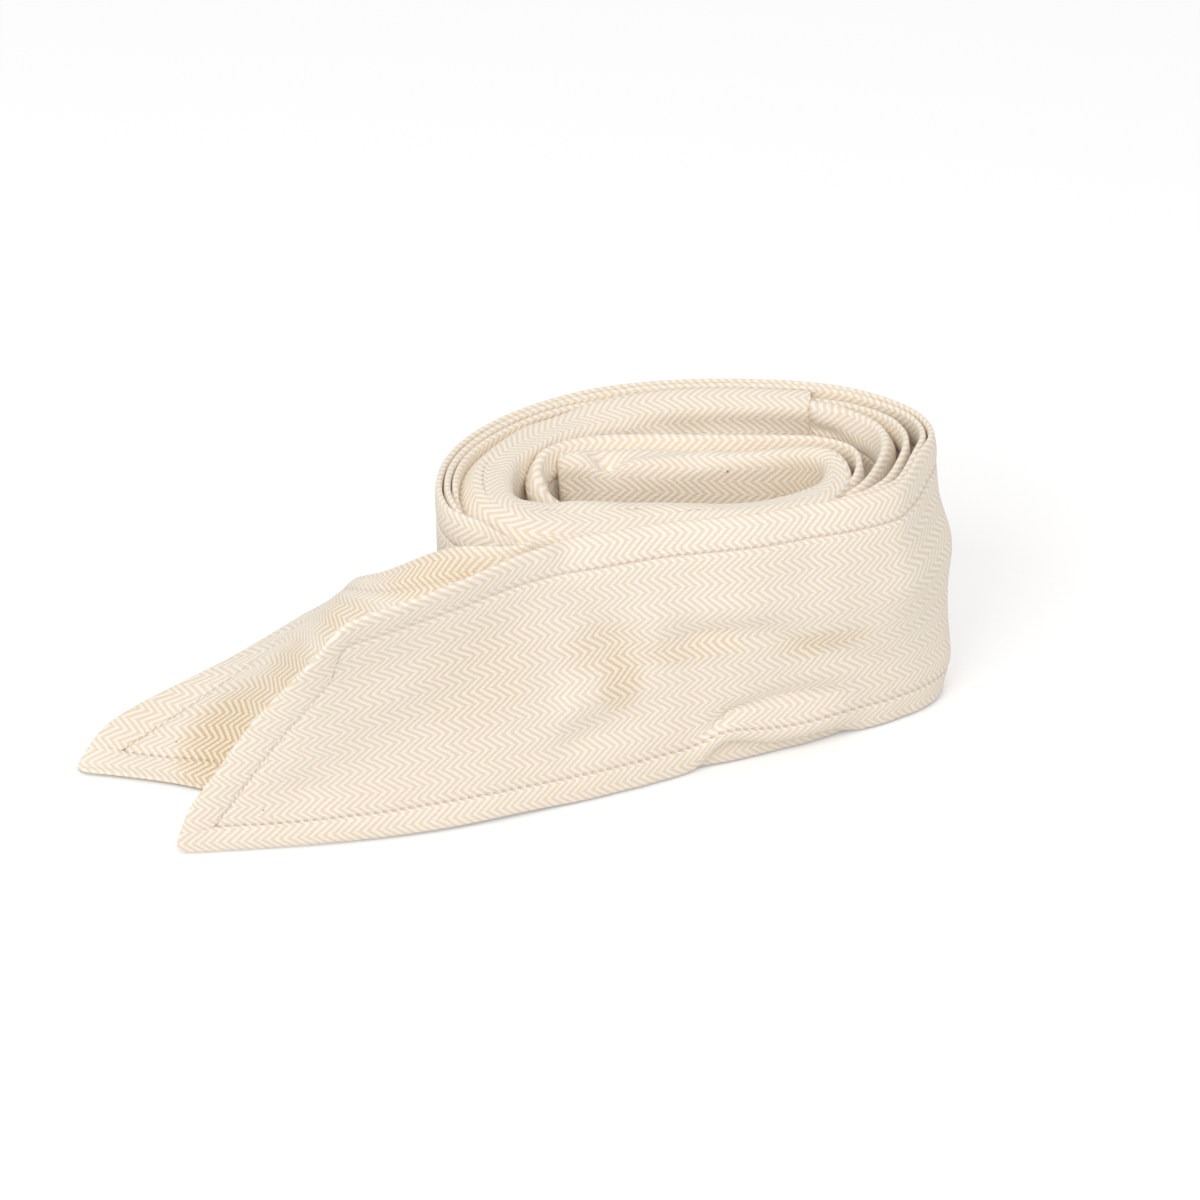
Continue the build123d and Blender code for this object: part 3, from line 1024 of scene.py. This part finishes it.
@dataclass(frozen=True)
class Thread:
    """Twisted cotton sewing thread."""

    name: str = "sewing_thread"
    light: Row = tone(243, 226, 212)
    dark: Row = tone(222, 194, 172)

    def make(self) -> bpy.types.Material:
        """Build the material."""
        n = Nodes(self.name)
        twist = n.clouds(n.node("ShaderNodeTexCoord", out="Object"), 2200.0)
        colour = n.mix(twist, self.light, self.dark)
        bump = n.node("ShaderNodeBump", {"Strength": 0.8, "Distance": 0.0001, "Height": twist})
        return n.surface("ShaderNodeBsdfPrincipled", {
            "Base Color": colour, "Roughness": 0.8, "Normal": bump, "Sheen Weight": 0.2})


FRONT_TIE = Tie(
    name="front_tie", body="front_tail", seed=1.7, lip=True, gather=3.2, gathered=(130, 80),
    wound=[
        (-14, -29.6), (0, -23.7), (14.5, -17.3), (33.5, -12.2), (52.5, -7.4), (71, -1.2), (90, 8.7),
        (104, 21.5), (114, 36.8), (117.5, 53.8), (113.5, 66.5), (102.5, 78.5), (90, 86.5),
        (75, 91), (55, 93), (36, 93), (18, 90.8), (0, 86.2), (-21, 75), (-41, 56),
        (-53, 34), (-56, 15.5), (-53, -2), (-46, -13.5), (-34, -20), (-19, -21.9),
        (-2, -18.4), (12.4, -12.2), (31.5, -7.3), (50.5, -2.5), (69, 3.5), (86, 12.3),
        (98, 23.5), (105.5, 36.8), (108, 52.6), (104, 63.5), (95.5, 74), (87, 80.5),
        (75, 85.6), (55, 87.7), (36, 87.7), (18, 85.5), (1, 81), (-18, 70.5), (-37, 52.5),
        (-48, 33), (-50.5, 15.5), (-48, 0), (-42, -10.2), (-31.6, -15.5), (-18.4, -16.9),
        (-4, -13.5), (10, -7.1), (29.5, -2.3), (48.5, 2.4), (66, 8.2), (82, 18),
        (91, 28.3), (89.5, 43.1), (79, 50.6), (60, 52.4), (36, 52.8), (10, 53), (-7, 50.5),
        (-18.5, 43), (-22.5, 33), (-19.5, 25), (-13.5, 23.6),
    ],
    tail=[(-14, -29.6), (-33, -37.5), (-54, -44.8), (-82, -51.5), (-112, -56.2),
          (-145, -59.8)],
    # Painted shade in the dimples and creases of the front wall.
    painted_shade_patches=((158, 46, 11, 15, 0.34), (150, 62, 20, 12, 0.2), (184, 55, 26, 9, 0.22),
             (232, 47, 22, 8, 0.3), (106, 62, 26, 30, 0.12)),
    # Patch left without needle holes and their painted shade.
    holes_left_out=((75, 70, 90, 62, 0.55),),
    leans=[(0.0, 0, 0, 0, 0.0), (0.1, 0, -1, -2, 0.0), (0.2, 0, -2, -10, -0.01),
           (0.35, -1, -7, -17, -0.03), (0.5, -4, -13, -20, -0.05), (0.65, -7, -18, -25, -0.06),
           (0.8, -7, -13, -18, -0.05), (1.0, -5, -7, -9, 0.0)],
    sinks=[(0.0, 0), (0.375, 0), (0.39, 7), (0.40, 11), (0.46, 12), (0.475, 11), (0.491, 4),
           (0.506, 1), (0.543, 0.5), (0.57, 3.5), (0.62, 3.5), (0.66, 1), (0.716, 1),
           (0.73, 4), (0.745, 9), (0.76, 12), (0.822, 12), (0.838, 9), (0.854, 3),
           (0.87, 1.5), (0.98, 2), (0.99, 6), (1.0, 14)],
    tail_folds=(Fold((92, 22), (84, 30), 1.6, 9), Fold((40, 70), (75, 55), -1.2, 9)),
)
REAR_TIE = Tie(
    name="rear_tie", body="rear_tail", seed=5.3, gather=4.0,
    wound=[
        (-23, -30.8), (-15, -27.3), (-1, -21.2), (13.5, -14.8), (32.5, -9.7), (51.5, -4.9), (70, 1.1),
        (88.6, 10.7), (102, 23), (111.7, 38.2), (115, 53.8), (111.3, 65.3), (101, 76.4),
        (89.2, 84), (74.6, 88.5), (55, 90.4), (36, 90.4), (18.4, 88.2), (1, 83.7),
        (-19.6, 73), (-39, 54.5), (-50.6, 33.3), (-53.4, 15.5), (-50.6, -1),
        (-44, -11.8), (-32.8, -17.7), (-18.7, -19.4), (-3, -16), (11.4, -9.6),
        (30.5, -4.8), (49.5, 0), (67.6, 5.9), (83.5, 14.5), (94, 25.5), (100, 40.8),
        (101, 53.8), (98, 62.5), (91, 70), (84, 74.5), (75.4, 77.4),
    ],
    tail=[(-23, -30.8), (-40, -36.2), (-60, -39.6), (-80, -39.5), (-102, -35.5),
          (-124, -28), (-142, -20), (-162, -14), (-185.5, -9.5)],
    bend=(math.radians(212), 8.5, 16.2),
    # Painted shade on the rear tail, in the crevice behind the front tail's slanted edge.
    painted_shade_patches=((49, 20, 21, 30, 0.62), (68, 46, 20, 20, 0.42), (94, 74, 26, 14, 0.3),
             (128, 96, 34, 12, 0.34)),
    # Patch left without needle holes and their painted shade.
    holes_left_out=((100, 80, 90, 46, 1.0),),
    leans=[(0.0, 0, 0, 0, 0.0), (0.1, 0, -3, 10, 0.02), (0.2, 0, -8, 45, 0.05),
           (0.3, 0, -8, 68, 0.08), (0.4, 0, 0, 86, 0.1), (0.5, 8, 12, 99, 0.11),
           (0.6, 18, 50, 105, 0.12), (0.69, 36, 72, 103, 0.12), (0.77, 60, 84, 94, 0.12),
           (0.85, 72, 80, 82, 0.11), (0.92, 66, 70, 72, 0.1), (1.0, 50, 52, 54, 0.08)],
    sinks=[(0.0, 0), (0.03, 0.5), (0.062, 3), (0.093, 5), (0.123, 5), (0.154, 3),
           (0.186, 0.3), (0.64, 0), (0.663, 4), (0.683, 9), (0.705, 12), (0.82, 12),
           (0.846, 10), (0.874, 4), (0.898, 2), (1.0, 1)],
)
PAD = ArmPad(
    name="arm_pad",
    route=[
        (75.6, 78.0, 5.4, -7, 3.5), (55, 79.8, 6.0, -7.5, 3.2), (36, 79.8, 6.0, -7.5, 3.2),
        (18, 77.5, 6.0, -7.5, 3), (4, 73.2, 6.2, -7, 2.5), (-13, 63.5, 6.8, -5.5, 2),
        (-28.5, 48, 7.6, -3, 1), (-38, 30.5, 8.8, -1, 0.5), (-38.8, 15, 9.4, -0.5, 0.8),
        (-34, 2.5, 9.4, -0.5, 2.5), (-22, -4.3, 9.6, 2, 5.5), (-6, -2.3, 9.0, 3, 6.5),
        (10, 1.5, 6.7, -0.5, 8), (27, 5.2, 5.8, -4, 8), (45, 8.6, 5.1, -7, 8),
        (60, 13, 4.9, -9, 8.5), (73, 20.2, 4.8, -10, 8), (81.3, 30.2, 4.7, -5, 3.5),
        (81, 40, 4.8, -1, 0.6), (73, 44.6, 5.4, 2, 0), (60, 43, 6.4, 2, 0),
        (36, 42, 7.0, 1.5, 0), (12, 41.2, 8.2, 3, 0), (-1, 40.2, 8.2, 3, 0), (-9.5, 39.4, 7.6, 2, 0),
    ],
)


@dataclass
class Tuck:
    """A pleat that takes up a tie's width where it is sewn into the pad."""

    tie: Tie
    level: float
    side: Face = Face.INNER
    reach: float = 24.0
    width: float = 9.0
    depth: float = 2.2

    def piece(self, name: str) -> MeshPiece:
        """A soft flap of cloth that rises from the tie towards the seam."""
        rows, cols = 12, 14
        walk = np.linspace(self.tie.length - self.reach, self.tie.length - 1.2, rows)
        share = np.linspace(0, 1, cols)
        verts, weave = [], []
        for a in walk:
            near = (a - walk[0]) / (walk[-1] - walk[0])
            level = self.level + self.width * (share - 0.5) * (0.35 + 0.65 * near)
            along = np.full(cols, a)
            skin = self.tie.face(along, level, self.side)
            out = self.tie.normals(along, level) * self.side.value
            arch = np.sin(np.pi * share) ** 0.6 * self.depth * near
            top = skin + out * (arch + 0.05)[:, None]
            under = skin + out * (arch - 0.75)[:, None]
            verts.append(np.concatenate((top, under[::-1])))
            weave.append(np.column_stack((np.concatenate((along, along)),
                                          np.concatenate((level, level[::-1] + 3)))))
        ring = 2 * cols
        faces = tube_faces(rows, ring)
        for start in (0, (rows - 1) * ring):
            for k in range(cols - 1):
                faces.append((start + k, start + k + 1, start + ring - k - 2, start + ring - k - 1))
        flat = np.concatenate(weave)
        far = np.column_stack((flat[:, 0], np.full(len(flat), 50.0)))
        return MeshPiece(name, np.concatenate(verts), faces, flat, far)


@dataclass
class Sling:
    """The whole sling: two ties, their stitching, the arm pad, and the joins between them."""

    cloth: bpy.types.Material
    thread: bpy.types.Material

    def build(self) -> None:
        """Build every piece in order."""
        for tie in (FRONT_TIE, REAR_TIE):
            self.tie(tie)
        self.pad()
        self.join("rear_join", REAR_TIE, (75.6, 73.2), (0, -1, 0))
        self.join("front_join", FRONT_TIE, (-14.2, 39.4), (-1, 0, 0))

    def _dress(self, obj: bpy.types.Object, finish: bpy.types.Material) -> None:
        """Give a piece its finish and log its triangle count."""
        obj.data.materials.clear()
        obj.data.materials.append(finish)
        faces = sum(len(p.vertices) - 2 for p in obj.data.polygons)
        log.info("%s: %d triangles", obj.name, faces)

    def tie(self, tie: Tie) -> None:
        """A tie and its topstitching, bending from the roll to its free end."""
        band = tie.build()
        finish = Herringbone(f"{tie.name}_herringbone", painted_shade_patches=tie.painted_shade_patches, holes_left_out=tie.holes_left_out)
        self._dress(band, finish.make())
        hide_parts(*(f"{name}_{ply}_ply" for name in (tie.name, tie.body)
                            for ply in ("outer", "inner")))
        ends = ((Face.OUTER, tie.length - 14), (Face.INNER, tie.hinge + 30))
        lines = [tie.stitch_line(top, side, 8, end) for side, end in ends for top in (True, False)]
        sewing = Stitcher().sew(f"{tie.name}_stitches", lines)
        self._dress(sewing, self.thread)
        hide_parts(f"{tie.name}_topstitching", f"{tie.body}_topstitching")
        self._bend(band)
        self._bend(sewing)

    def _bend(self, obj: bpy.types.Object) -> None:
        """Bake a piece's placement into its mesh."""
        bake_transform(obj)

    def pad(self) -> None:
        """The arm pad."""
        pad = PAD.build()
        self._dress(pad, self.cloth)
        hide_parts("pad_cover_outer_face", "pad_cover_inner_face", "pad_wadding")
        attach(pad, "roll")

    def join(self, name: str, tie: Tie, spot: Pair, out: Triple) -> None:
        """The tucks and the seam where a tie meets the pad.

        Args:
            name: first part of the pieces' names.
            tie: the tie that is sewn in.
            spot: where the seam stands on plan.
            out: which way its stitches face.
        """
        pleats = []
        for number, level in enumerate(TUCK_LEVELS):
            obj = Tuck(tie, level).piece(f"{name}_tuck_{number + 1}").build()
            self._dress(obj, self.cloth)
            pleats.append(obj)
        pick(*pleats)
        bpy.ops.object.join()
        tucks = pleats[0]
        tucks.name = f"{name}_pleats"
        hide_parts(f"{name}_tucks")
        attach(tucks, "roll")
        levels = np.arange(5.5, 100, STITCH_PITCH)
        spots = np.column_stack((np.tile(spot, (len(levels), 1)), levels))
        axes = np.tile(np.array(((0, 0, 1), np.cross(out, (0, 0, 1)), out)), (len(levels), 1, 1))
        seam = Stitcher(width=0.5, height=0.5).sew(f"{name}_stitches", [(spots, axes)])
        self._dress(seam, self.thread)
        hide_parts(f"{name}_seam")
        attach(seam, "roll")


@dataclass(frozen=True)
class Studio:
    """White floor and soft light, and the camera."""

    target: Triple = (0.0, 0.0, 66.0)
    elevation: float = 30.0
    distance: float = 1400.0
    lens: float = 120.8
    sky: float = 0.7
    warm: Row = (1.0, 0.99, 0.978, 1)

    def build(self) -> None:
        """Make floor, world, lamps and camera."""
        self._floor()
        self._world()
        self._lamp("key_softbox", (-0.75, -1.5, 1.45), 1.1, 15.0)
        self._lamp("fill_softbox", (0.6, -1.2, 1.7), 1.5, 5.0)
        self._camera()

    def _floor(self) -> None:
        """A plain white floor."""
        bpy.ops.object.select_all(action="DESELECT")
        bpy.ops.mesh.primitive_plane_add(size=12, location=(0, 0, -0.0004))
        floor = bpy.context.active_object
        floor.name = "floor"
        n = Nodes("white_floor")
        plain = {"Base Color": (0.86, 0.86, 0.86, 1), "Roughness": 1.0, "Specular IOR Level": 0.0}
        dull = n.node("ShaderNodeBsdfPrincipled", plain)
        white = n.node("ShaderNodeBsdfPrincipled", {
            **plain, "Emission Color": (0.97, 0.985, 1, 1), "Emission Strength": 0.26})
        floor.data.materials.append(n.surface("ShaderNodeMixShader", {
            0: n.seen(), 1: dull, 2: white}))

    def _world(self) -> None:
        """White all round: bright where it is seen, gentle where it lights."""
        world = bpy.data.worlds.new("white_room")
        bpy.context.scene.world = world
        n = Nodes(world, "ShaderNodeOutputWorld")
        gentle, bright = (n.node("ShaderNodeBackground", [colour, strength])
                          for colour, strength in ((self.warm, self.sky), ((1, 1, 1, 1), 1.0)))
        n.surface("ShaderNodeMixShader", {0: n.seen(), 1: gentle, 2: bright})

    def _lamp(self, name: str, place: Triple, size: float, power: float) -> None:
        """A square softbox that looks at the roll."""
        data = bpy.data.lights.new(name, "AREA")
        data.shape = "SQUARE"
        data.size = size
        data.energy = power
        self._aim(put(name, data), place, (0, 0, 0.05))

    def _camera(self) -> None:
        """The camera, level with the room."""
        data = bpy.data.cameras.new("camera")
        data.lens = self.lens
        data.sensor_width = 36.0
        data.clip_end = 50
        camera = put("camera", data)
        rise = math.radians(self.elevation)
        away = np.array((0, -math.cos(rise), math.sin(rise))) * self.distance
        self._aim(camera, home(self.target + away), home(self.target))
        bpy.context.scene.camera = camera

    @staticmethod
    def _aim(obj: bpy.types.Object, place: Sequence[float], target: Sequence[float]) -> None:
        """Set an object down at a place in metres, facing a target."""
        obj.location = place
        gaze = Vector(target) - obj.location
        obj.rotation_euler = gaze.to_track_quat("-Z", "Y").to_euler()


def main() -> None:
    """Build the sling and the studio."""
    logging.basicConfig(level=logging.INFO, format="%(name)s: %(message)s")
    bpy.context.scene.view_settings.view_transform = "Standard"
    Studio().build()
    Sling(Herringbone().make(), Thread().make()).build()


if __name__ == "__main__":
    main()
